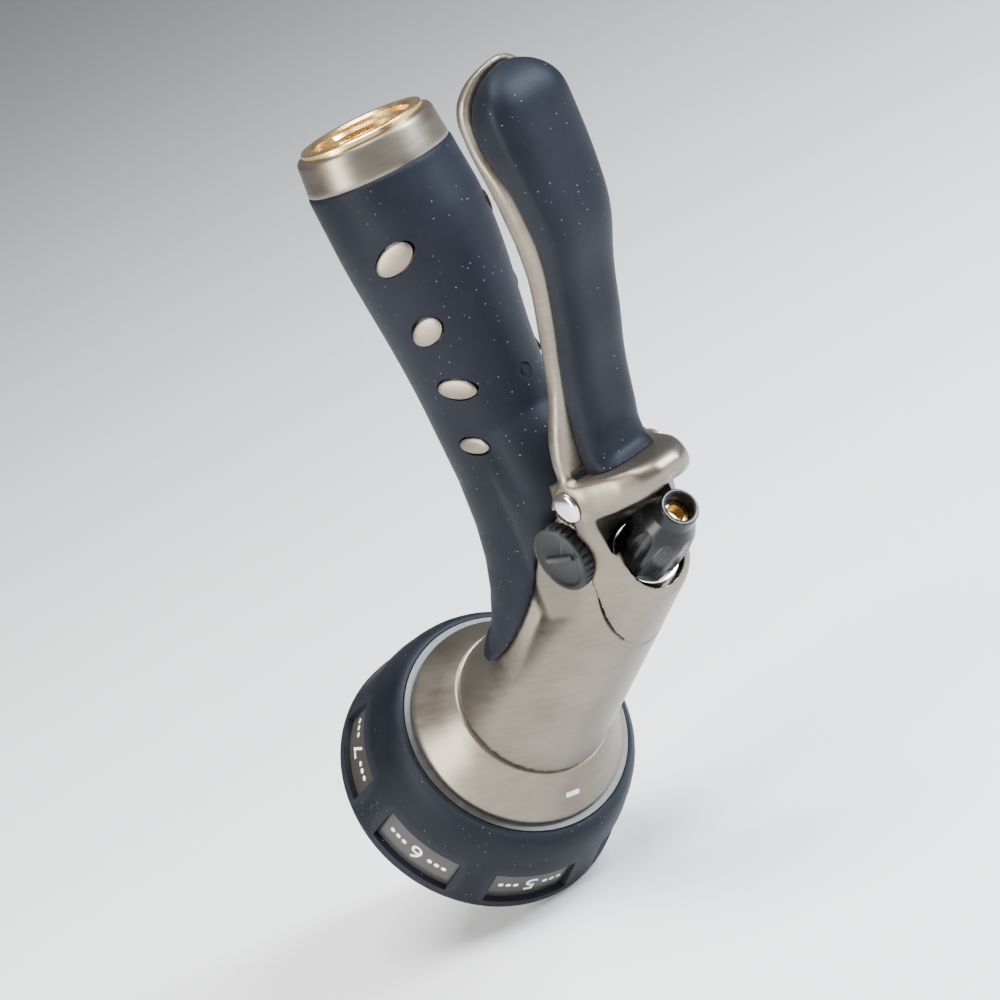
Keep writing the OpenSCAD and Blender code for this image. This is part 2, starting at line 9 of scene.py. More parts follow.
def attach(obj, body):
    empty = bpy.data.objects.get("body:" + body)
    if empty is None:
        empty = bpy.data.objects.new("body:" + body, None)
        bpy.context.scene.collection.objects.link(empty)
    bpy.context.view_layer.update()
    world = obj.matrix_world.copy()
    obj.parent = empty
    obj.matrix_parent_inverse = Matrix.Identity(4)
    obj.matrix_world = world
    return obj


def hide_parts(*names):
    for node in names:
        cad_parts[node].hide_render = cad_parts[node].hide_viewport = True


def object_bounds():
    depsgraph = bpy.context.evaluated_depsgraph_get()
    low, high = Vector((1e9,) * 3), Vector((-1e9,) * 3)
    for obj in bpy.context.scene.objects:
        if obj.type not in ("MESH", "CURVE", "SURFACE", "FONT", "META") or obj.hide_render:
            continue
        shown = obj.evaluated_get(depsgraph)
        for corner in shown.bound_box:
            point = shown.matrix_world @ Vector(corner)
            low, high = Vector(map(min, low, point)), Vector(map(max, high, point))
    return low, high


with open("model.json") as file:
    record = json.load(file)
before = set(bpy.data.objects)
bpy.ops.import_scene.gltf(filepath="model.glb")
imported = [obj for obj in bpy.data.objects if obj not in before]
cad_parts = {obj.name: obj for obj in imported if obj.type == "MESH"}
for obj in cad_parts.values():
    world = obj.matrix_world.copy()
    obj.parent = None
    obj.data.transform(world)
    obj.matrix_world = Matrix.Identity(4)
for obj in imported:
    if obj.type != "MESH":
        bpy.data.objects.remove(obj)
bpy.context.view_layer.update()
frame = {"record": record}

# Sizes are in millimetres and become metres through MM. The middle of the inlet's mouth
# is the origin, +X is forward, +Y is the nozzle's left and +Z runs up the grip.
MM = 0.001
DROP = math.radians(28)  # the barrel points this far below level
SPRAY = Vector((math.cos(DROP), 0, -math.sin(DROP)))  # along the barrel, forward
LIFT = Vector((math.sin(DROP), 0, math.cos(DROP)))  # square to the barrel, upward
BARREL = Vector((11, 0, -150))  # the point on the barrel's axis that its lengths count from
PIVOT = Vector((-33, 0, -104.7))  # the lever's pin
WHEEL = Vector((-22.5, 0, -118))  # the lock wheel's axis
BARREL_PLACE = Matrix.Translation(BARREL * MM) @ Matrix.Rotation(math.pi / 2 + DROP, 4, "Y")
PATTERNS = 7  # spray patterns on the dial
FLUTES = 8  # hollows round the flow knob
TEETH = 28  # notches round the lock wheel
LEAF_PAIRS = 4  # metal ovals on each side of the grip
GATE_HEIGHT = -72  # the moulding mark on the back of the grip
FLANGE_BACK = 38.8  # where the barrel ends and the flange begins


# ---------------------------------------------------------------- workshop

def on_barrel(t, lift=0.0):
    """the point t along the barrel's axis and lift above it"""
    return BARREL + SPRAY * t + LIFT * lift


def clear():
    if bpy.context.object and bpy.context.object.mode != "OBJECT":
        bpy.ops.object.mode_set(mode="OBJECT")
    bpy.ops.object.select_all(action="DESELECT")


def take(piece):
    clear()
    piece.select_set(True)
    bpy.context.view_layer.objects.active = piece


def edit(piece):
    take(piece)
    bpy.ops.object.mode_set(mode="EDIT")
    bpy.ops.mesh.select_all(action="SELECT")


def done(piece, name=None):
    """put the piece's place, turn and size into its mesh"""
    if bpy.context.object and bpy.context.object.mode != "OBJECT":
        bpy.ops.object.mode_set(mode="OBJECT")
    take(piece)
    bpy.ops.object.transform_apply(location=True, rotation=True, scale=True)
    if name:
        piece.name = name
        piece.data.name = name
    return piece


def pick(piece, kind, test):
    """select the faces, edges or points of an edited piece for which test is true"""
    mesh = bmesh.from_edit_mesh(piece.data)
    bpy.ops.mesh.select_all(action="DESELECT")
    for item in getattr(mesh, kind):
        if test(item):
            item.select_set(True)
    mesh.select_flush_mode()
    bmesh.update_edit_mesh(piece.data)


def outward(piece):
    """merge doubled points and turn every face outward"""
    edit(piece)
    bpy.ops.mesh.remove_doubles(threshold=0.00001)
    bpy.ops.mesh.normals_make_consistent(inside=False)
    bpy.ops.object.mode_set(mode="OBJECT")


def cut(piece, cutter, how="DIFFERENCE"):
    """use the cutter up on the piece"""
    take(piece)
    knife = piece.modifiers.new("cut", "BOOLEAN")
    knife.operation = how
    knife.solver = "EXACT"
    knife.object = cutter
    bpy.ops.object.modifier_apply(modifier=knife.name)
    bpy.data.objects.remove(cutter, do_unlink=True)
    return piece


def weld(piece, other):
    return cut(piece, other, "UNION")


def melt(piece, voxel, rounds, factor=0.5):
    """run the joints of a casting into each other"""
    take(piece)
    skin = piece.modifiers.new("skin", "REMESH")
    skin.mode = "VOXEL"
    skin.voxel_size = voxel * MM
    skin.use_smooth_shade = True
    bpy.ops.object.modifier_apply(modifier=skin.name)
    fair = piece.modifiers.new("fair", "SMOOTH")
    fair.factor = factor
    fair.iterations = rounds
    bpy.ops.object.modifier_apply(modifier=fair.name)
    return piece


def round_edges(piece, width, segments=3, angle=35):
    take(piece)
    edge = piece.modifiers.new("edge", "BEVEL")
    edge.width = width * MM
    edge.segments = segments
    edge.limit_method = "ANGLE"
    edge.angle_limit = math.radians(angle)
    edge.harden_normals = False
    edge.use_clamp_overlap = True
    bpy.ops.object.modifier_apply(modifier=edge.name)
    return piece


def smooth(piece, angle=35):
    take(piece)
    bpy.ops.object.shade_smooth_by_angle(angle=math.radians(angle))
    return piece


def copy_of(piece, name):
    twin = piece.copy()
    twin.data = piece.data.copy()
    bpy.context.collection.objects.link(twin)
    twin.name = name
    twin.data.name = name
    return twin


def turned(name, profile, sides=96, ring=True):
    """a lathe shape about Z from a list of (radius, height); a ring joins its end to its start"""
    clear()
    radius, height = profile[0]
    bpy.ops.mesh.primitive_circle_add(vertices=sides, radius=radius * MM,
                                      fill_type="NOTHING" if ring else "NGON",
                                      location=(0, 0, height * MM))
    piece = bpy.context.object
    edit(piece)
    for new_radius, new_height in profile[1:]:
        bpy.ops.mesh.extrude_region_move(
            TRANSFORM_OT_translate={"value": (0, 0, (new_height - height) * MM)})
        grow = new_radius / radius
        bpy.ops.transform.resize(value=(grow, grow, 1), center_override=(0, 0, new_height * MM))
        radius, height = new_radius, new_height
    if ring:
        first = profile[0]
        last = profile[-1]
        start_z = first[1] * MM

        def at_an_end(edge):
            for r, z in (first, last):
                if all(abs(v.co.z + start_z - z * MM) < 2e-6
                       and abs(math.hypot(v.co.x, v.co.y) - r * MM) < 2e-6 for v in edge.verts):
                    return True
            return False

        pick(piece, "edges", at_an_end)
        bpy.ops.mesh.bridge_edge_loops()
    bpy.ops.object.mode_set(mode="OBJECT")
    done(piece, name)
    outward(piece)
    return piece


def lofted(name, stations, sides=64):
    """a run of slices (centre x, centre z, turn in degrees, half depth, half width)

    They are ovals of so many sides, or with -1 squares with rounded corners."""
    clear()
    x, z, turn, deep, wide = stations[0]
    if sides > 0:
        bpy.ops.mesh.primitive_circle_add(vertices=sides, radius=MM, fill_type="NGON",
                                          location=(x * MM, 0, z * MM))
        piece = bpy.context.object
        edit(piece)
    else:
        bpy.ops.mesh.primitive_plane_add(size=2 * MM, location=(x * MM, 0, z * MM))
        piece = bpy.context.object
        edit(piece)
        bpy.ops.mesh.bevel(offset=0.62 * MM, segments=5, affect="VERTICES")
        bpy.ops.mesh.select_all(action="SELECT")
    centre = (x * MM, 0, z * MM)
    bpy.ops.transform.resize(value=(deep, wide, 1), center_override=centre)
    if turn:
        bpy.ops.transform.rotate(value=-math.radians(turn), orient_axis="Y", center_override=centre)
    for new_x, new_z, new_turn, new_deep, new_wide in stations[1:]:
        step = ((new_x - x) * MM, 0, (new_z - z) * MM)
        bpy.ops.mesh.extrude_region_move(TRANSFORM_OT_translate={"value": step})
        centre = (new_x * MM, 0, new_z * MM)
        if new_turn != turn:
            bpy.ops.transform.rotate(value=-math.radians(new_turn - turn), orient_axis="Y",
                                     center_override=centre)
        bpy.ops.transform.resize(value=(new_deep / deep, new_wide / wide, new_deep / deep),
                                 center_override=centre)
        x, z, turn, deep, wide = new_x, new_z, new_turn, new_deep, new_wide
    bpy.ops.object.mode_set(mode="OBJECT")
    done(piece, name)
    outward(piece)
    return piece


def drum(name, centre, radius, length, axis="Z", sides=64, top=None):
    """a round bar along Z, Y or B, which is the barrel's own axis"""
    clear()
    turns = {"Z": (0, 0, 0), "Y": (math.pi / 2, 0, 0), "B": (0, math.pi / 2 + DROP, 0)}
    bpy.ops.mesh.primitive_cone_add(vertices=sides, radius1=radius * MM,
                                    radius2=(radius if top is None else top) * MM,
                                    depth=length * MM, location=Vector(centre) * MM,
                                    rotation=turns[axis])
    return done(bpy.context.object, name)


def block(name, low, high):
    """a box from its lowest to its highest corner"""
    clear()
    centre = [(a + b) / 2 * MM for a, b in zip(low, high)]
    bpy.ops.mesh.primitive_cube_add(size=1, location=centre)
    piece = bpy.context.object
    piece.scale = [(b - a) * MM for a, b in zip(low, high)]
    return done(piece, name)


def to_barrel(piece):
    """stand a lathe shape made about Z onto the barrel's axis"""
    piece.rotation_euler = (0, math.pi / 2 + DROP, 0)
    piece.location = BARREL * MM
    return done(piece)


def to_side(piece, centre):
    """lay a lathe shape made about Z across the nozzle, its top to the left"""
    piece.rotation_euler = (-math.pi / 2, 0, 0)
    piece.location = Vector(centre) * MM
    return done(piece)


def curtain(name, points, half_width, push):
    """a solid behind a bent sheet: points are (x, z), pushed along push"""
    clear()
    (xa, za), (xb, zb) = points[0], points[1]
    bpy.ops.mesh.primitive_plane_add(size=1, location=(0, 0, 0))
    piece = bpy.context.object
    edit(piece)
    mesh = bmesh.from_edit_mesh(piece.data)
    for v in mesh.verts:
        x, z = (xa, za) if v.co.x < 0 else (xb, zb)
        v.co = Vector((x, half_width if v.co.y > 0 else -half_width, z)) * MM
    bmesh.update_edit_mesh(piece.data)
    pick(piece, "edges", lambda e: all(abs(v.co.x - xb * MM) < 1e-6 and abs(v.co.z - zb * MM) < 1e-6
                                       for v in e.verts))
    for (x, z), (next_x, next_z) in zip(points[1:], points[2:]):
        bpy.ops.mesh.extrude_region_move(
            TRANSFORM_OT_translate={"value": ((next_x - x) * MM, 0, (next_z - z) * MM)})
    bpy.ops.mesh.select_all(action="SELECT")
    bpy.ops.mesh.extrude_region_move(TRANSFORM_OT_translate={"value": tuple(p * MM for p in push)})
    bpy.ops.object.mode_set(mode="OBJECT")
    done(piece, name)
    outward(piece)
    return piece


def ease(u):
    """from 0 to 1, level at both ends"""
    u = min(1.0, max(0.0, u))
    return u * u * (3 - 2 * u)


def follow(points, at):
    """the value at a position, on a smooth line through a list of (position, value)"""
    points = sorted(points)
    if at <= points[0][0]:
        return points[0][1]
    if at >= points[-1][0]:
        return points[-1][1]
    for k in range(len(points) - 1):
        (p0, v0), (p1, v1) = points[k], points[k + 1]
        if p0 <= at <= p1:
            def slope(j):
                if j <= 0 or j >= len(points) - 1:
                    return 0.0
                return (points[j + 1][1] - points[j - 1][1]) / (points[j + 1][0] - points[j - 1][0])
            h = p1 - p0
            u = (at - p0) / h
            return ((2 * u**3 - 3 * u**2 + 1) * v0 + (u**3 - 2 * u**2 + u) * h * slope(k)
                    + (-2 * u**3 + 3 * u**2) * v1 + (u**3 - u**2) * h * slope(k + 1))
    return points[-1][1]


def join(pieces):
    clear()
    for piece in pieces:
        piece.select_set(True)
    bpy.context.view_layer.objects.active = pieces[0]
    if len(pieces) > 1:
        bpy.ops.object.join()
    return pieces[0]


def skin_over(name, pieces):
    """the tight skin around a few bars"""
    piece = join(pieces)
    edit(piece)
    bpy.ops.mesh.convex_hull()
    bpy.ops.object.mode_set(mode="OBJECT")
    piece.name = name
    piece.data.name = name
    outward(piece)
    return piece


def across(x, z, r, half):
    """a round bar from side to side of the nozzle"""
    return drum("bar", (x, 0, z), r, 2 * half, "Y", 40)


def bored(piece, centre, radius, length, axis="Z", sides=64):
    return cut(piece, drum("bore", centre, radius, length, axis, sides))


def placed(piece, matrix):
    piece.matrix_world = matrix
    return done(piece)


def barrel_radius(t):
    """the outside of the barrel, which grows towards the spray head"""
    return 17.95 + 4.25 * t / FLANGE_BACK


def barrel_bar(t_low, t_high, r_low, r_high=None, lift=0.0, sides=64):
    """a round or tapered bar along the barrel, lifted off its axis"""
    middle = on_barrel((t_low + t_high) / 2, lift)
    top = r_low if r_high is None else r_high
    return drum("barrel_bar", middle, r_low, t_high - t_low, "B", sides, top)


def pattern_turn(k):
    """the turn about the spray head's axis that brings pattern k into place"""
    return math.pi + 2 * math.pi * k / PATTERNS


# ---------------------------------------------------------------- finishes

class Amount:
    """a number socket that can be used in sums"""

    def __init__(self, bench, socket):
        self.bench = bench
        self.socket = socket

    def sum(self, kind, first, second):
        return self.bench.math(kind, first, second)

    def __add__(self, other):
        return self.sum("ADD", self, other)

    def __radd__(self, other):
        return self.sum("ADD", other, self)

    def __sub__(self, other):
        return self.sum("SUBTRACT", self, other)

    def __rsub__(self, other):
        return self.sum("SUBTRACT", other, self)

    def __mul__(self, other):
        return self.sum("MULTIPLY", self, other)

    def __rmul__(self, other):
        return self.sum("MULTIPLY", other, self)


class Finish:
    """one material: its shader and the nodes that vary it over the surface"""

    def __init__(self, name, **plain):
        self.material = bpy.data.materials.new(name)
        self.material.use_nodes = True
        self.tree = self.material.node_tree
        self.shader = self.tree.nodes["Principled BSDF"]
        for key, value in plain.items():
            self.shader.inputs[key.replace("_", " ")].default_value = value
        self.place = self.node("ShaderNodeTexCoord").outputs["Object"]

    def node(self, kind, settings=None, **sockets):
        made = self.tree.nodes.new(kind)
        for key, value in (settings or {}).items():
            setattr(made, key, value)
        for key, value in sockets.items():
            self.feed(made.inputs[key.replace("_", " ")], value)
        return made

    def feed(self, spot, value):
        if isinstance(value, Amount):
            value = value.socket
        if isinstance(value, bpy.types.NodeSocket):
            self.tree.links.new(value, spot)
        else:
            spot.default_value = value

    def math(self, kind, first, second):
        made = self.node("ShaderNodeMath", {"operation": kind})
        self.feed(made.inputs[0], first)
        self.feed(made.inputs[1], second)
        return Amount(self, made.outputs[0])

    def noise(self, scale, detail=3.0, rough=0.5, place=None):
        made = self.node("ShaderNodeTexNoise", Vector=place or self.place, Scale=scale,
                         Detail=detail, Roughness=rough)
        return Amount(self, made.outputs["Fac"])

    def spots(self, scale, place=None):
        made = self.node("ShaderNodeTexVoronoi", Vector=place or self.place, Scale=scale)
        return Amount(self, made.outputs["Distance"])

    def band(self, amount, low, high):
        made = self.node("ShaderNodeMapRange", {"clamp": True}, Value=amount, From_Min=low,
                         From_Max=high, To_Min=0.0, To_Max=1.0)
        return Amount(self, made.outputs["Result"])

    def wear(self, low=0.52, high=0.62):
        """grows where the surface turns over an edge"""
        made = self.node("ShaderNodeNewGeometry")
        return self.band(Amount(self, made.outputs["Pointiness"]), low, high)

    def blend(self, amount, first, second):
        made = self.node("ShaderNodeMix", {"data_type": "RGBA"})
        factor, colour_a, colour_b = made.inputs[0], made.inputs[6], made.inputs[7]
        self.feed(factor, amount)
        self.feed(colour_a, first)
        self.feed(colour_b, second)
        return made.outputs[2]

    def stretch(self, scale, turn=(0, 0, 0)):
        made = self.node("ShaderNodeMapping", Vector=self.place, Scale=scale, Rotation=turn)
        return made.outputs["Vector"]

    def finish(self, colour, roughness=None, bump=None, depth=0.0002, strength=0.5):
        self.feed(self.shader.inputs["Base Color"], colour)
        if roughness is not None:
            self.feed(self.shader.inputs["Roughness"], roughness)
        if bump is not None:
            made = self.node("ShaderNodeBump", Height=bump, Distance=depth, Strength=strength)
            self.feed(self.shader.inputs["Normal"], made.outputs["Normal"])
        return self.material


def rgb(r, g, b):
    return (r, g, b, 1.0)


def champagne_nickel():
    """warm grey plating over a casting, with fine draw lines, scuffs and paler edges"""
    skin = Finish("champagne_nickel", Metallic=0.9, IOR=1.8)
    cloud = skin.noise(38.0, 4.0, 0.55)
    grain = skin.noise(2600.0, 2.0, 0.6)
    streak = skin.noise(90.0, 5.0, 0.65, skin.stretch((1.0, 1.0, 9.0)))
    tone = skin.band(cloud * 0.65 + streak * 0.35, 0.36, 0.66)
    colour = skin.blend(tone, rgb(0.14, 0.12, 0.094), rgb(0.215, 0.187, 0.15))
    colour = skin.blend(skin.wear(0.53, 0.66) * 0.3, colour, rgb(0.4, 0.35, 0.285))
    scratches = skin.noise(900.0, 2.0, 0.7, skin.stretch((1.0, 0.22, 3.0), (0.3, 0.2, 0.5)))
    scuff = skin.band(scratches, 0.66, 0.72)
    rough = 0.3 + 0.1 * tone + 0.05 * grain + 0.08 * scuff
    return skin.finish(colour, rough, grain * 0.7 + cloud * 0.3, 0.00005, 0.35)


def soft_rubber(name, colour_low, colour_high, rough_low=0.42, seed=0.0):
    """navy black rubber with a fine grain and pale specks of dust"""
    skin = Finish(name, IOR=1.36, Specular_IOR_Level=0.2, Sheen_Weight=0.01, Sheen_Roughness=0.4,
                  Sheen_Tint=rgb(0.5, 0.62, 0.95), Specular_Tint=rgb(0.8, 0.87, 1.0))
    grain = skin.noise(1500.0 + seed, 3.0, 0.6)
    cloud = skin.noise(30.0 + seed, 4.0, 0.55)
    specks = skin.band(skin.spots(560.0 + seed), 0.09, 0.045)
    dust = specks * skin.band(skin.noise(70.0, 2.0), 0.46, 0.56)
    colour = skin.blend(skin.band(cloud, 0.35, 0.68), colour_low, colour_high)
    colour = skin.blend(skin.wear(0.52, 0.6) * 0.2, colour, rgb(0.03, 0.032, 0.038))
    colour = skin.blend(dust * 0.8, colour, rgb(0.34, 0.37, 0.42))
    rough = rough_low + 0.14 * cloud + 0.08 * grain
    return skin.finish(colour, rough, grain, 0.00008, 0.4)


def gloss_black(name, rough_base=0.24):
    """moulded black plastic with fine scratches"""
    skin = Finish(name, IOR=1.46, Specular_IOR_Level=0.2, Coat_Weight=0.05, Coat_Roughness=0.12)
    cloud = skin.noise(60.0, 3.0)
    lines = skin.noise(1400.0, 2.0, 0.7, skin.stretch((0.25, 1.0, 2.5), (0.4, 0.7, 0.2)))
    scratch = skin.band(lines, 0.64, 0.7)
    colour = skin.blend(skin.band(cloud, 0.3, 0.7), rgb(0.004, 0.004, 0.0045), rgb(0.008, 0.008, 0.009))
    colour = skin.blend(skin.wear(0.53, 0.64) * 0.3, colour, rgb(0.07, 0.07, 0.075))
    rough = rough_base + 0.08 * cloud + 0.14 * scratch
    return skin.finish(colour, rough, skin.noise(700.0, 3.0), 0.00005, 0.12)


def satin_black(name, low, high, rough_base=0.4):
    skin = Finish(name, IOR=1.5)
    cloud = skin.noise(48.0, 4.0)
    grain = skin.noise(1900.0, 2.0, 0.6)
    colour = skin.blend(skin.band(cloud, 0.3, 0.7), low, high)
    colour = skin.blend(skin.wear(0.53, 0.63) * 0.3, colour, rgb(0.2, 0.19, 0.18))
    return skin.finish(colour, rough_base + 0.12 * grain, grain, 0.00006, 0.3)


def machined_brass():
    skin = Finish("machined_brass", Metallic=1.0)
    cloud = skin.noise(60.0, 4.0)
    line = skin.noise(500.0, 2.0, 0.5, skin.stretch((1.0, 1.0, 14.0)))
    stain = skin.band(skin.noise(140.0, 5.0, 0.6), 0.55, 0.72)
    colour = skin.blend(skin.band(cloud, 0.35, 0.65), rgb(0.78, 0.53, 0.21), rgb(0.9, 0.66, 0.32))
    colour = skin.blend(stain * 0.35, colour, rgb(0.42, 0.27, 0.11))
    return skin.finish(colour, 0.2 + 0.12 * line + 0.14 * stain, line, 0.00005, 0.25)


def bright_metal(name, low, high, rough_base):
    skin = Finish(name, Metallic=1.0)
    cloud = skin.noise(90.0, 4.0)
    line = skin.noise(900.0, 2.0, 0.6, skin.stretch((1.0, 10.0, 1.0)))
    colour = skin.blend(skin.band(cloud, 0.35, 0.65), low, high)
    return skin.finish(colour, rough_base + 0.08 * line + 0.05 * cloud, line, 0.00003, 0.15)


def natural_nylon():
    skin = Finish("natural_nylon", Subsurface_Weight=0.08)
    cloud = skin.noise(70.0, 3.0)
    colour = skin.blend(cloud, rgb(0.74, 0.71, 0.62), rgb(0.82, 0.8, 0.73))
    return skin.finish(colour, 0.38 + 0.1 * cloud, skin.noise(900.0), 0.00005, 0.2)


def white_paint():
    skin = Finish("white_paint")
    chip = skin.band(skin.noise(1300.0, 4.0, 0.6), 0.66, 0.72)
    cloud = skin.noise(200.0, 3.0)
    colour = skin.blend(cloud, rgb(0.72, 0.72, 0.7), rgb(0.83, 0.83, 0.81))
    colour = skin.blend(chip * 0.7, colour, rgb(0.3, 0.29, 0.27))
    return skin.finish(colour, 0.4 + 0.15 * cloud, cloud, 0.00004, 0.2)


FINISHES = {
    "champagne_metal": champagne_nickel(),
    "grip_rubber": soft_rubber("grip_rubber", rgb(0.0052, 0.006, 0.009), rgb(0.0095, 0.011, 0.0155)),
    "lever_rubber": soft_rubber("lever_rubber", rgb(0.0052, 0.006, 0.0088), rgb(0.0095, 0.011, 0.015),
                                0.36, 7.0),
    "bezel_rubber": soft_rubber("bezel_rubber", rgb(0.0046, 0.0054, 0.008), rgb(0.0085, 0.0098, 0.0135),
                                0.38, 13.0),
    "knob_plastic": gloss_black("knob_plastic"),
    "wheel_plastic": gloss_black("wheel_plastic", 0.33),
    "dial_plastic": satin_black("dial_plastic", rgb(0.012, 0.012, 0.013), rgb(0.022, 0.022, 0.024)),
    "label_dark": satin_black("label_dark", rgb(0.012, 0.0105, 0.0095), rgb(0.021, 0.0185, 0.017), 0.26),
    "mark_white": white_paint(),
    "brass": machined_brass(),
    "nickel": bright_metal("polished_nickel", rgb(0.66, 0.65, 0.63), rgb(0.78, 0.77, 0.75), 0.12),
    "steel": bright_metal("plain_steel", rgb(0.46, 0.47, 0.48), rgb(0.58, 0.59, 0.6), 0.26),
    "seal_rubber": soft_rubber("seal_rubber", rgb(0.012, 0.012, 0.012), rgb(0.02, 0.02, 0.02), 0.45, 21.0),
    "nylon": natural_nylon(),
    "insert_metal": bright_metal("satin_insert", rgb(0.36, 0.36, 0.36), rgb(0.48, 0.48, 0.47), 0.32),
}


def fit(piece, body, slot, *nodes):
    """give a finished piece its material, its body and the CAD nodes that it stands for"""
    piece.data.materials.clear()
    piece.data.materials.append(FINISHES[slot])
    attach(piece, body)
    if nodes:
        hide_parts(*nodes)
    return piece


for part in frame["record"]["subparts"]:
    node = bpy.data.objects.get(part["node"])
    if node:
        for k in range(len(node.material_slots)):
            node.material_slots[k].material = FINISHES[part["material_slot"]]
clear()


# ---------------------------------------------------------------- grip

def grip_width(z):
    """half the grip's width at a height"""
    return 20.4 - 4.9 * ease((-z - 22) / 55)


def grip_depth(z):
    """half the grip's depth, front to back"""
    return 20.5 + 1.5 * ease((-z - 8) / 22) - 2.2 * ease((-z - 32) / 45)


def grip_middle(z):
    """how far forward the grip's middle lies"""
    return -1.4 * ease((-z - 8) / 20) + 2.2 * ease((-z - 35) / 45)


GRIP_SIDES = 72
# the grip's slices where it bends into the barrel: x, z, turn, half depth, half width
ELBOW = [(3.2, -110, -6, 18.4, 15.9), (6.2, -122, -20, 17.6, 16.8), (10.2, -134.5, -38, 18.6, 18.4),
         (15.8, -146.5, -52, 20.6, 20.2), (22.5, -156.1, -62, 21.7, 21.7),
         (26.45, -158.2, -62, 22.17, 22.17)]


def grip_form(name, inset, top, run_on=False):
    """the grip and its saddle over the barrel, drawn in by inset"""
    slices = [(grip_middle(z), z, 0, grip_depth(z) - inset, grip_width(z) - inset)
              for z in [top] + [-13.0 - 5.5 * k for k in range(16)]]
    slices += [(x, z, turn, deep - inset, wide - inset) for x, z, turn, deep, wide in ELBOW]
    if run_on:
        slices.append((30.4, -160.3, -62, 22.6 - inset, 22.6 - inset))
    form = lofted(name, slices, GRIP_SIDES)
    cheeks = [(-3.6, -76, 0, 13.0, 11.6), (-5.2, -82, 0, 14.2, 13.2), (-7.4, -88, 0, 15.0, 14.4),
              (-9.4, -94, 0, 15.3, 15.4), (-10.8, -100, 0, 15.4, 16.0), (-11.0, -106, 0, 15.4, 16.3),
              (-9.4, -113, 0, 14.8, 16.2), (-5.4, -121, 0, 13.4, 15.4), (-1.0, -129, 0, 11.0, 13.6)]
    slices = [(x, z, turn, deep - inset, wide - inset) for x, z, turn, deep, wide in cheeks]
    return weld(form, lofted("flare", slices, GRIP_SIDES))


# the rubber's lower edge seen from the side, as (x, z)
EDGE_OF_RUBBER = [(-52, -98), (-29.5, -104.2), (-21, -109), (-14, -113), (-7, -119), (-1, -126), (5, -133),
                  (10, -137.2), (15.6, -141), (22, -144.2), (27.5, -146.3), (30.6, -146.8), (32.8, -146.0),
                  (34.3, -144.3), (35.3, -141.5), (39.2, -134.5), (46, -122)]
# the metal ovals in the grip: x, z, half height, half width, tilt in degrees
LEAVES = [(-12.6, -30.3, 6.5, 3.5, 20), (-9.7, -51.5, 5.3, 3.4, 20), (-8, -69, 5.9, 2.9, -16),
          (-4.6, -85, 4.8, 2.4, -14)]


def leaf_place(k, side, sink=0.0):
    """where an oval lies on the grip's skin; side is 1 for left and -1 for right"""
    x, z, _, _, tilt = LEAVES[k]
    dx = x - grip_middle(z)
    y = grip_width(z) * math.sqrt(1 - (dx / grip_depth(z)) ** 2)
    facing = math.atan2(y / grip_width(z) ** 2, dx / grip_depth(z) ** 2)
    return (Matrix.Translation(Vector((x, side * y, z)) * MM) @ Matrix.Rotation(side * facing, 4, "Z")
            @ Matrix.Rotation(math.pi / 2, 4, "Y") @ Matrix.Rotation(math.radians(side * tilt), 4, "Z")
            @ Matrix.Translation(Vector((0, 0, -sink)) * MM))


def leaf(name, k, grow, steps):
    """an oval button with a rounded face: steps are (share of the outline, height)"""
    _, _, tall, wide, _ = LEAVES[k]
    button = turned(name, steps, 48, ring=False)
    edit(button)
    bpy.ops.transform.resize(value=(wide + grow, tall + grow, 1), center_override=(0, 0, 0))
    bpy.ops.object.mode_set(mode="OBJECT")
    return button


def rubber_cover():
    """the moulded rubber sleeve, its windows for the ovals and its gate mark at the back"""
    cover = grip_form("grip_cover", 0, -9.4)
    hollow = grip_form("hollow", 2.4, -4, True)
    cut(cover, hollow)
    cut(cover, curtain("below", EDGE_OF_RUBBER, 44, (21, 0, -60)))
    cut(cover, block("rear_room", (-60, -40, -130), (-25.6, 40, -90)))
    cut(cover, barrel_bar(-60, FLANGE_BACK, barrel_radius(-60) + 0.1,
                          barrel_radius(FLANGE_BACK) + 0.1))
    melt(cover, 0.72, 5)
    window_steps = [(1, -4.2), (1, -0.3), (1.09, 0.1), (1.2, 0.9), (1.22, 1.2)]
    windows = []
    for k in range(LEAF_PAIRS):
        for side in (1, -1):
            window = leaf("window", k, 0.28, window_steps)
            windows.append(placed(window, leaf_place(k, side)))
    cut(cover, join(windows))
    ring = turned("gate_ring", [(1.0, -0.35), (2.3, -0.35), (2.5, 2), (0.8, 2)], 40)
    gate = Vector((grip_middle(GATE_HEIGHT) - grip_depth(GATE_HEIGHT), 0, GATE_HEIGHT))
    cut(cover, placed(ring, Matrix.Translation(gate * MM) @ Matrix.Rotation(-math.pi / 2, 4, "Y")))
    smooth(cover, 38)
    fit(cover, "body", "grip_rubber", "grip_cover")


def leaves():
    steps = [(0.9, -2.9), (0.93, -0.4), (0.97, -0.1), (0.93, 0.06), (0.8, 0.2), (0.62, 0.3),
             (0.4, 0.36), (0.18, 0.39), (0.02, 0.4)]
    for k in range(LEAF_PAIRS):
        for side, hand in ((1, "left"), (-1, "right")):
            button = leaf("leaf_%s_%d" % (hand, k + 1), k, -0.05, steps)
            placed(button, leaf_place(k, side, 0.12))
            smooth(button, 40)
            fit(button, "body", "champagne_metal", "inlay_%s_%d" % (hand, k + 1))


# ---------------------------------------------------------------- casting

def wheel_pad_form():
    """the raised metal cheeks on both sides of the barrel; the wheel sits on the left one"""
    pad = skin_over("wheel_pad", [across(-12, -108, 6, 15), across(-8, -134, 6, 15),
                                  across(-24, -117, 8, 15), barrel_bar(-30, 0, 12)])
    under_rubber = [(x, z - 0.5) for x, z in EDGE_OF_RUBBER]
    cut(pad, curtain("below", under_rubber, 50, (21, 0, -60)), "INTERSECT")
    return cut(pad, split_side(0, True))


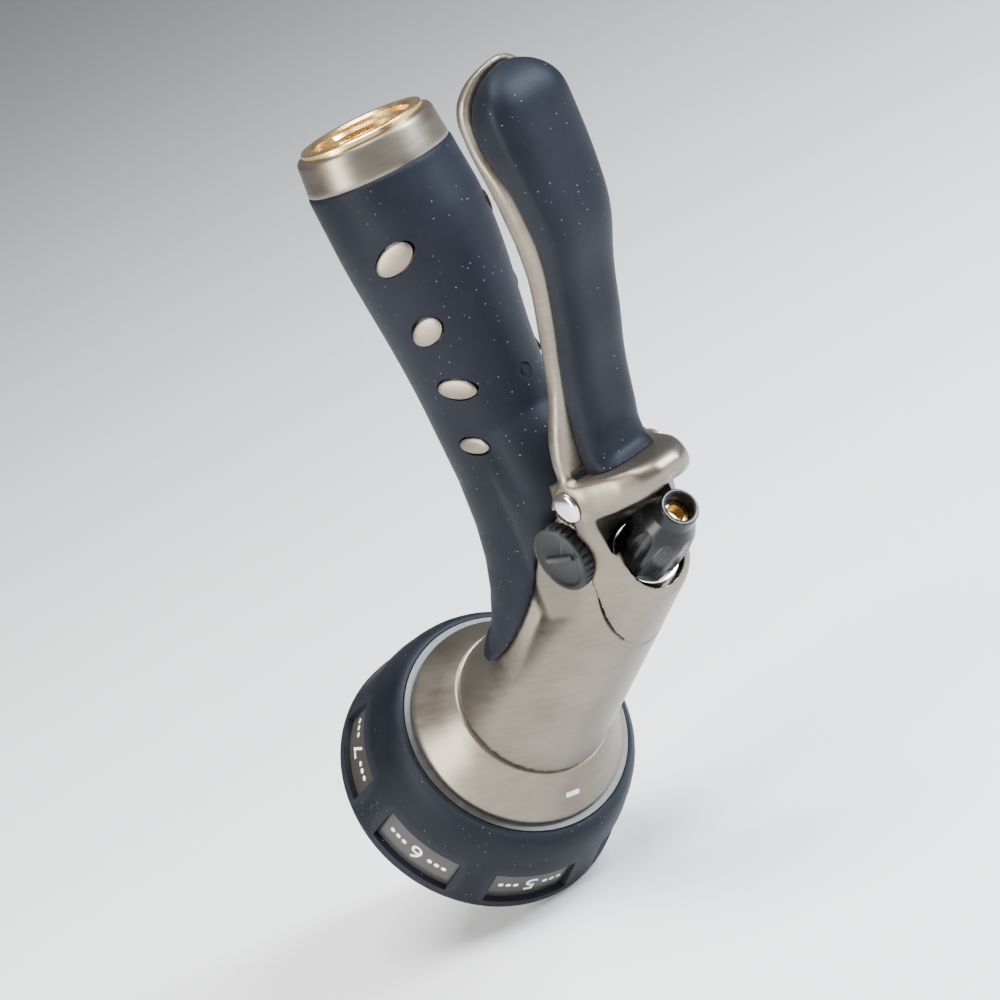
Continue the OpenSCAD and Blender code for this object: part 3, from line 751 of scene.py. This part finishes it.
def split_side(gap, whole=False):
    """the side of the hood from the line where it meets the body

    The line stands off by gap; unless whole, it stops just under the pivot."""
    side = block("split", (-200 - gap, -60, -100), (-gap, 60, 100))
    placed(side, Matrix.Translation(PIVOT * MM) @ Matrix.Rotation(math.radians(-19), 4, "Y"))
    if not whole:
        cut(side, block("above", (-260, -80, -105.7), (60, 80, 200)))
    return side


def casting():
    """the cast body: grip core, barrel, collar, ears, and the bores through them"""
    body = grip_form("cast_body", 2.44, -9.0, True)
    weld(body, barrel_bar(-47, FLANGE_BACK, barrel_radius(-47), barrel_radius(FLANGE_BACK), 0, 96))
    weld(body, wheel_pad_form())
    melt(body, 0.8, 4)
    cut(body, drum("wheel_seat", (WHEEL.x, 25.05, WHEEL.z), 9.3, 20, "Y"))
    collar = [(17.2, -16), (17.4, -10), (19.9, -9.6), (20.0, -9.2), (20.0, -8.4), (19.85, -7.4),
              (19.3, -1.6), (19.1, -0.7), (18.7, -0.2), (18.1, -0.02)]
    weld(body, turned("collar", collar, 96, ring=False))
    cut(body, split_side(0))
    ear = skin_over("ear", [across(-33, -104.7, 6, 12.4), across(-19, -105, 4, 10.2),
                            across(-19, -121, 5, 12.4), across(-23.5, -117, 5.6, 12.4)])
    weld(body, round_edges(ear, 0.8, 2, 50))
    weld(body, barrel_bar(-36.5, -16.5, 9.8))
    weld(body, barrel_bar(37, 50, 17.35))
    bored(body, (0, 0, -8), 15.5, 20)
    bored(body, (0, 0, -76), 6.5, 130)
    for low, high, radius in ((-26, 13, 7.6), (12, 52, 9.5), (44, 64, 15), (-60, 0, 6),
                              (-95, -36.7, 10.4)):
        cut(body, barrel_bar(low, high, radius))
    slot = block("slot", (-5.6, -12.95, 0), (34.4, 12.95, 23.4))
    placed(slot, BARREL_PLACE @ Matrix.Translation(Vector((0, 0, -60)) * MM))
    cut(body, slot)
    bored(body, tuple(PIVOT), 3.0, 60, "Y")
    bored(body, (WHEEL.x, 20.2, WHEEL.z), 3.56, 19.6, "Y")
    smooth(body, 32)
    fit(body, "body", "champagne_metal", "body_casting")


def flange_and_mark():
    """the cone between barrel and dial, with the white dash that the dial is read against"""
    profile = [(17.42, FLANGE_BACK), (22.3, FLANGE_BACK), (22.75, 38.95), (23.1, 39.3), (26.5, 44.7),
               (30.2, 50.5), (30.75, 51.3), (31.0, 51.9), (31.1, 52.4), (31.0, 52.9),
               (30.7, 53.1), (29.2, 53.1), (28.2, 52.6), (17.42, 45.2)]
    flange = turned("flange_ring", profile, 128)
    to_barrel(flange)
    mark_place = (BARREL_PLACE @ Matrix.Rotation(math.radians(14), 4, "Z")
                  @ Matrix.Translation(Vector((26.6, 0, 45.6)) * MM)
                  @ Matrix.Rotation(math.radians(-58), 4, "Y"))
    cut(flange, placed(block("mark_room", (-0.76, -2.12, -1.5), (0.76, 2.12, 1.5)), mark_place))
    smooth(flange, 30)
    fit(flange, "body", "champagne_metal", "flange_ring")
    mark = round_edges(block("index_dash", (-0.7, -2.05, -0.9), (0.7, 2.05, 1.22)), 0.25, 3)
    placed(mark, mark_place)
    smooth(mark, 40)
    fit(mark, "body", "mark_white", "index_mark")


def inlet():
    """the brass bush in the collar and the turns of the hose thread inside it"""
    profile = [(15.45, -17.9), (15.45, -0.1), (17.2, 0.02), (17.2, 1.2), (16.9, 1.6), (14.6, 1.6),
               (13.75, 0.9), (13.75, -15), (6.6, -15), (6.5, -15.3), (6.5, -17.9)]
    bush = turned("thread_bush", profile, 96)
    smooth(bush, 30)
    fit(bush, "body", "brass", "inlet_bush")
    clear()
    bpy.ops.mesh.primitive_circle_add(vertices=3, radius=0.62 * MM, location=(13.62 * MM, 0, -13.6 * MM),
                                      rotation=(math.pi / 2, 0, 0), fill_type="NOTHING")
    turns = bpy.context.object
    turns.name = "thread_turns"
    bpy.ops.object.transform_apply(location=True, rotation=True, scale=True)
    winding = turns.modifiers.new("winding", "SCREW")
    winding.axis = "Z"
    winding.angle = math.radians(360)
    winding.screw_offset = 2.2 * MM
    winding.iterations = 6
    winding.steps = 72
    winding.render_steps = 72
    winding.use_merge_vertices = False
    take(turns)
    bpy.ops.object.modifier_apply(modifier=winding.name)
    edit(turns)
    mesh = bmesh.from_edit_mesh(turns.data)
    for edge in mesh.edges:
        edge.select_set(edge.is_boundary)
    bmesh.update_edit_mesh(turns.data)
    bpy.ops.mesh.edge_face_add()
    bpy.ops.object.mode_set(mode="OBJECT")
    done(turns, "thread_turns")
    outward(turns)
    smooth(turns, 60)
    fit(turns, "body", "brass")


# ---------------------------------------------------------------- lever

# the lever from the side, as (z, x): the arm's front, where arm and pad meet, the pad's back
ARM_FRONT = [(-103, -30), (-101, -30), (-89, -30.4), (-75, -35.6), (-60, -41.8), (-47, -48), (-35, -51.7),
             (-20, -53.8), (-5, -54.4), (3, -55.4), (8, -58.4), (10.8, -62.5)]
ARM_SEAM = [(-103, -35.6), (-101, -35.6), (-87, -38.6), (-71, -44.8), (-62, -49.3), (-52, -54.3),
            (-42, -58.8), (-34, -60.8), (-20, -61.9), (-9, -59.3), (0, -60.6), (5, -62.6), (8.6, -65.2), (10.8, -67.4)]
PAD_REAR = [(-103, -50), (-96, -44.6), (-87, -47.5), (-74, -52.2), (-62, -58.5), (-50, -63.6),
            (-35, -71.4), (-20, -73.2), (-3, -74.4), (3, -73.6), (7, -71.2), (9.4, -68.6)]


def crown(z, top, height):
    """share of the full size left near a rounded end"""
    u = (z - (top - height)) / height
    return 1.0 if u <= 0 else math.sqrt(max(0.012, 1 - u * u))


def pad_half(z):
    """half the palm pad's width at a height"""
    return 9.6 + 3.6 * ease((z + 62) / 56)


def arm_half(z):
    """half the metal arm's width at a height"""
    return pad_half(z) + 5.6 * ease((-z - 70) / 28)


def arm_form(name, inset, low, high, shift=0.0):
    """the metal arm, or with a shift the channel that is cut into its back"""
    slices = []
    for k in range(33):
        u = k / 32
        z = low + (high - low) * (1 - (1 - u) ** 1.35)
        front = follow(ARM_FRONT, z) - inset
        seam = follow(ARM_SEAM, z) + (0 if shift else -0.6)
        left = crown(z, high, 13 if not shift else 4)
        slices.append(((front + seam) / 2 + shift, z, 0, max(1.0, abs(front - seam) / 2) * left ** 0.4,
                       (arm_half(z) - inset) * left))
    return lofted(name, slices, -1)


def lever():
    """the lever: cast arm with its hood and fork, the rubber pad, and the pin"""
    arm = arm_form("lever_arm", 0, -103, 10.6)
    outline = copy_of(arm, "arm_outline")
    hood = skin_over("hood", [across(-33, -104.7, 6, 16.3), across(-32, -112, 4.6, 15.6),
                              barrel_bar(-50, -18, barrel_radius(-50), barrel_radius(-18), 0, 72),
                              barrel_bar(-54, -34, 11.6, 12.6, 3.5, 48)])
    cut(hood, block("rear_trim", (-90, -40, -180), (-37.2, 40, -105.5)))
    brim = skin_over("brim", [across(-54.9, -103.8, 4.3, 4.2), across(-52.0, -104.0, 4.6, 8.4),
                              across(-46, -104.4, 5.0, 12.2), across(-36, -105, 5.6, 15.2)])
    weld(hood, brim)
    outline_low = copy_of(hood, "hood_outline")
    weld(arm, hood)
    melt(arm, 0.95, 9, 0.6)
    cut(arm, skin_over("boss_room", [barrel_bar(-42.6, -8.6, 10.8, 10.8, 0, 60),
                                     barrel_bar(-42.4, -8.4, 13, 13, 12, 52)]))
    cut(arm, barrel_bar(-52, -45.55, 13.03, 11.23, 4.02, 56))
    cut(arm, arm_form("channel", 2.6, -83, 4, 2.8))
    cut(arm, skin_over("ear_room", [across(-33, -104.7, 7, 12.75), across(-14, -92, 10, 12.75),
                                    across(-16, -84, 10, 9), across(-30, -117, 8, 12.75)]))
    cut(arm, barrel_bar(-71.5, -31.3, 10.4, 10.4, 0, 58))
    cut(arm, barrel_bar(-95, -60.7, 7.6, 7.6, -1, 46))
    keep = split_side(0.65, True)
    upper = block("upper", (-90, -40, -105.2), (2, 40, 40))
    weld(keep, upper)
    cut(arm, keep, "INTERSECT")
    for step in (0, 3):
        cut(arm, drum("recess", (WHEEL.x + step, 25, WHEEL.z + step / 2), 10.0, 20, "Y"))
    fork = block("web", (-5.2, -20, 0), (20.8, 20, 3))
    cut(fork, block("stem_way", (-8, -3.4, -1), (4, 3.4, 5)))
    placed(fork, BARREL_PLACE @ Matrix.Translation(Vector((0, 0, -45.6)) * MM))
    cut(fork, barrel_bar(-50, -40, 12.2, 12.2, 1.5), "INTERSECT")
    weld(arm, fork)
    for side in (1, -1):
        nose = on_barrel(-44.97)
        weld(arm, drum("nose", (nose.x, side * 6, nose.z), 3, 4.4, "Y", 40))
    melt(arm, 0.52, 3)
    bored(arm, tuple(PIVOT), 3.02, 60, "Y", 48)
    done(arm, "lever_frame")
    smooth(arm, 36)
    fit(arm, "lever", "champagne_metal", "lever_frame")

    slices = []
    for k in range(33):
        u = k / 32
        z = -101.5 + 110.3 * (1 - (1 - u) ** 1.35)
        front = follow(ARM_SEAM, z) + 1.6
        rear = follow(PAD_REAR, z)
        left = crown(z, 8.8, 13)
        slices.append(((front + rear) / 2, z, 0, (front - rear) / 2 * left ** 0.5, pad_half(z) * left))
    pad = lofted("lever_pad", slices, -1)
    melt(pad, 0.8, 8, 0.6)
    cut(pad, outline)
    cut(pad, outline_low)
    melt(pad, 0.62, 2)
    done(pad, "palm_pad")
    smooth(pad, 40)
    fit(pad, "lever", "lever_rubber", "lever_pad")

    profile = [(2.3, -18.8), (2.96, -18.2), (2.96, 16.4), (4.3, 16.42), (4.4, 16.75), (4.2, 17.1),
               (3.5, 17.45), (2.2, 17.7), (0.8, 17.8), (0.02, 17.8)]
    pin = turned("pivot_pin", profile, 64, ring=False)
    to_side(pin, (PIVOT.x, 0, PIVOT.z))
    smooth(pin, 35)
    fit(pin, "body", "nickel", "pivot_pin")


# ---------------------------------------------------------------- knob, wheel

def knob():
    """the fluted knob behind the barrel, its brass core and the washer it bears on"""
    profile = [(3.92, -74.4), (4.4, -74.6), (5.0, -74.6), (5.3, -74.2), (5.35, -70.4), (5.7, -69.6),
               (7.2, -66.9), (7.9, -65.0), (8.3, -62.0), (8.6, -52.4), (8.6, -51.0), (8.4, -50.3),
               (8.0, -50.05), (3.92, -50.05)]
    grip = turned("flow_knob", profile, 140)
    flutes = []
    for k in range(FLUTES):
        angle = 2 * math.pi * k / FLUTES
        place = (13.3 * math.cos(angle), 13.3 * math.sin(angle), -61)
        flutes.append(drum("flute", place, 5.9, 30, "Z", 72))
    cut(grip, join(flutes))
    round_edges(grip, 0.22, 2, 32)
    to_barrel(grip)
    smooth(grip, 32)
    fit(grip, "knob", "knob_plastic", "flow_knob")
    core = [(2.54, -70.6), (3.6, -70.6), (3.9, -70.3), (3.9, -50.1), (2.54, -50.1)]
    lining = turned("knob_lining", core, 64)
    to_barrel(lining)
    smooth(lining)
    fit(lining, "knob", "brass", "knob_insert")
    disc = [(2.5, -50), (9.0, -50), (9.2, -49.8), (9.2, -48.2), (9.0, -48), (2.5, -48)]
    washer = turned("thrust_washer", disc, 72)
    to_barrel(washer)
    smooth(washer)
    fit(washer, "valve", "nickel", "thrust_washer")


def wheel():
    """the lock wheel: a milled rim and a rib across its face"""
    profile = [(9.0, 15.2), (9.4, 15.5), (9.4, 18.0), (9.05, 18.5), (8.2, 18.6), (7.6, 18.35),
               (6.9, 18.2), (0.05, 18.15)]
    disc = turned("lock_wheel", profile, 112, ring=False)
    teeth = []
    for k in range(TEETH):
        angle = 2 * math.pi * k / TEETH
        place = (9.85 * math.cos(angle), 9.85 * math.sin(angle), 17)
        teeth.append(drum("tooth", place, 0.78, 8, "Z", 20))
    cut(disc, join(teeth))
    rib = round_edges(block("rib", (-5.4, -0.8, 17.6), (5.4, 0.8, 18.95)), 0.35, 3)
    weld(disc, rib)
    bored(disc, (0, 0, 15), 3.5, 4.8)
    round_edges(disc, 0.12, 2, 40)
    to_side(disc, (WHEEL.x, 0, WHEEL.z))
    smooth(disc, 32)
    fit(disc, "lock", "wheel_plastic", "lock_wheel")


# ---------------------------------------------------------------- spray head

BAND_SLOPE = math.atan2(1.37, 19.4)  # the label band widens forward by this angle
LABEL_MIDDLE = Vector((39.04, 0, 77.2))  # the middle of a window: radius, side, place along the axis


def around(k, extra=0.0):
    """pattern k's place on the head, turned on by extra"""
    return BARREL_PLACE @ Matrix.Rotation(pattern_turn(k) + extra, 4, "Z")


def bezel():
    """the rubber ring round the head with a window for each label, and the band behind it"""
    profile = [(36.12, 62.2), (33.5, 55.0), (33.1, 54.3), (33.3, 53.95), (34.2, 54.1), (35.3, 55.2),
               (36.3, 57.0), (37.3, 59.6), (38.1, 62.8), (38.7, 66.2), (39.3, 69.0), (40.1, 75.0),
               (40.9, 80.8), (41.45, 85.0), (41.6, 86.2), (41.5, 86.9), (41.1, 87.4), (40.4, 87.5),
               (37.0, 87.5), (36.2, 87.2), (36.2, 86.64), (39.74, 86.64), (38.34, 66.96),
               (36.12, 66.96)]
    rim = turned("bezel_grip", profile, 140)
    panes = []
    for k in range(PATTERNS):
        pane = turned("pane", [(37.0, 70.6), (60, 70.6), (60, 83.8), (37.0, 83.8)], 120)
        wedge = drum("wedge", (0, 0, 77), 90, 30, "Z", 3)
        edit(wedge)
        mesh = bmesh.from_edit_mesh(wedge.data)
        reach = 75 * math.tan(math.radians(18))  # a window spans 18 degrees to each side
        for v in mesh.verts:
            corner = round((math.atan2(v.co.y, v.co.x) % (2 * math.pi)) / (2 * math.pi / 3)) % 3
            x, y = ((0, 0), (75, -reach), (75, reach))[(corner + 1) % 3]
            v.co.x, v.co.y = x * MM, y * MM
        bmesh.update_edit_mesh(wedge.data)
        bpy.ops.mesh.normals_make_consistent(inside=False)
        bpy.ops.object.mode_set(mode="OBJECT")
        cut(pane, wedge, "INTERSECT")
        panes.append(placed(pane, Matrix.Rotation(pattern_turn(k), 4, "Z")))
    cut(rim, join(panes))
    round_edges(rim, 0.3, 3, 40)
    to_barrel(rim)
    smooth(rim, 30)
    fit(rim, "dial", "bezel_rubber", "bezel_grip")

    sleeve = [(36.12, 67), (38.2, 67), (38.31, 67.2), (39.68, 86.4), (39.5, 86.6), (36.12, 86.6)]
    band = turned("label_band", sleeve, 180)
    to_barrel(band)
    smooth(band)
    fit(band, "dial", "label_dark", "label_band")


def label_prints():
    """a raised number and a row of dots in every window of the bezel"""
    for k in range(PATTERNS):
        clear()
        bpy.ops.object.text_add()
        number = bpy.context.object
        number.data.body = str(k + 1)
        number.data.size = 8.2 * MM
        number.data.extrude = 0.14 * MM
        number.data.align_x = "CENTER"
        number.data.align_y = "CENTER"
        number.data.resolution_u = 6
        bpy.ops.object.convert(target="MESH")
        number = bpy.context.object
        placed(number, Matrix(((0, 0, 1, 0), (1, 0, 0, 0), (0, 1, 0, 0), (0, 0, 0, 1))))
        number.matrix_world = (around(k) @ Matrix.Translation(LABEL_MIDDLE * MM)
                               @ Matrix.Rotation(BAND_SLOPE, 4, "Y"))
        done(number, "number_%d" % (k + 1))
        outward(number)
        dots = [number]
        for j in range(-4, 5):
            if abs(j) < 2:
                continue
            dot = turned("dot", [(0.75, -0.12), (0.75, 0.1), (0.6, 0.14), (0.02, 0.14)], 24, ring=False)
            dots.append(placed(dot, around(k, math.radians(3.3 * j))
                               @ Matrix.Translation(LABEL_MIDDLE * MM)
                               @ Matrix.Rotation(math.pi / 2 + BAND_SLOPE, 4, "Y")))
        label = join(dots)
        label.name = "pattern_label_%d" % (k + 1)
        smooth(label, 30)
        fit(label, "dial", "mark_white")


def face():
    """the plate that holds the pattern inserts"""
    profile = [(0.05, 80.3), (33.38, 80.3), (33.38, 83.9), (33.0, 84.3), (31.0, 84.3), (30.4, 83.9),
               (12.6, 83.9), (12.0, 84.3), (11.3, 84.3), (10.8, 83.5), (0.05, 83.3)]
    plate = turned("face_plate", profile, 140)
    holes = []
    for k in range(PATTERNS):
        hole = drum("hole", (21.5, 0, 82), 7.02, 12, "Z", 72)
        holes.append(placed(hole, Matrix.Rotation(pattern_turn(k), 4, "Z")))
    cut(plate, join(holes))
    round_edges(plate, 0.2, 2, 40)
    to_barrel(plate)
    smooth(plate, 32)
    fit(plate, "dial", "dial_plastic", "face_plate")


rubber_cover()
leaves()
casting()
flange_and_mark()
inlet()
lever()
knob()
wheel()
bezel()
label_prints()
face()


# ---------------------------------------------------------------- studio

def studio():
    """a plain pale floor and an even, dim room"""
    clear()
    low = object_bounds()[0][2]
    bpy.ops.mesh.primitive_plane_add(size=30, location=(0, 0, low - 0.0005))
    floor = bpy.context.object
    floor.name = "studio_floor"
    paint = Finish("studio_floor_paint", Roughness=0.75)
    paint.finish(paint.blend(paint.noise(0.6), rgb(0.86, 0.86, 0.86), rgb(0.88, 0.88, 0.88)))
    floor.data.materials.append(paint.material)
    world = bpy.data.worlds.new("soft_room")
    world.use_nodes = True
    sky = world.node_tree.nodes["Background"]
    sky.inputs["Color"].default_value = (0.93, 0.95, 1.0, 1)
    sky.inputs["Strength"].default_value = 0.22
    bpy.context.scene.world = world


def softbox(name, place, aim, size, power, colour=(1, 1, 1)):
    """a large soft lamp; power is in watts"""
    clear()
    bpy.ops.object.light_add(type="AREA", location=Vector(place) * MM)
    lamp = bpy.context.object
    lamp.name = name
    lamp.data.shape = "RECTANGLE"
    lamp.data.size = size[0] * MM
    lamp.data.size_y = size[1] * MM
    lamp.data.energy = power
    lamp.data.color = colour
    lamp.rotation_euler = (Vector(aim) - Vector(place)).to_track_quat("-Z", "Y").to_euler()


def camera():
    """the eye looks down on the nozzle from behind its left side and is turned onto it"""
    clear()
    place = Vector((-890.0, 613.0, 158.7))
    rightward = Vector((-0.5128, -0.7373, -0.4397))
    upward = Vector((-0.1288, -0.4403, 0.8886))
    back = rightward.cross(upward)
    look = (rightward * (AIM_RIGHT / LENS_REACH) - upward * (AIM_DOWN / LENS_REACH)
            - back).normalized()
    new_across = upward.cross(-look).normalized()
    new_up = (-look).cross(new_across)
    bpy.ops.object.camera_add(location=place * MM)
    eye = bpy.context.object
    eye.name = "camera"
    eye.matrix_world = Matrix.Translation(place * MM) @ Matrix(
        (new_across, new_up, -look)).transposed().to_4x4()
    eye.data.sensor_width = 36
    eye.data.lens = 36 * LENS_REACH / 1000 * ZOOM
    eye.data.clip_start = 0.01
    bpy.context.scene.camera = eye


LENS_REACH = 2602.5  # the lens's length for a frame 1000 wide
AIM_RIGHT, AIM_DOWN = 241.0, 194.0  # how far off that frame's middle the nozzle is
ZOOM = 1.62  # how much closer the nozzle is framed than that lens would show it
studio()
softbox("right_window", (-900, -750, 650), (-20, 0, -100), (300, 900), 62, (0.84, 0.91, 1.0))
softbox("left_panel", (150, 1250, 260), (10, 0, -110), (420, 900), 30, (1.0, 0.98, 0.95))
softbox("overhead", (-200, 200, 1250), (0, 0, -110), (900, 900), 42)
camera()
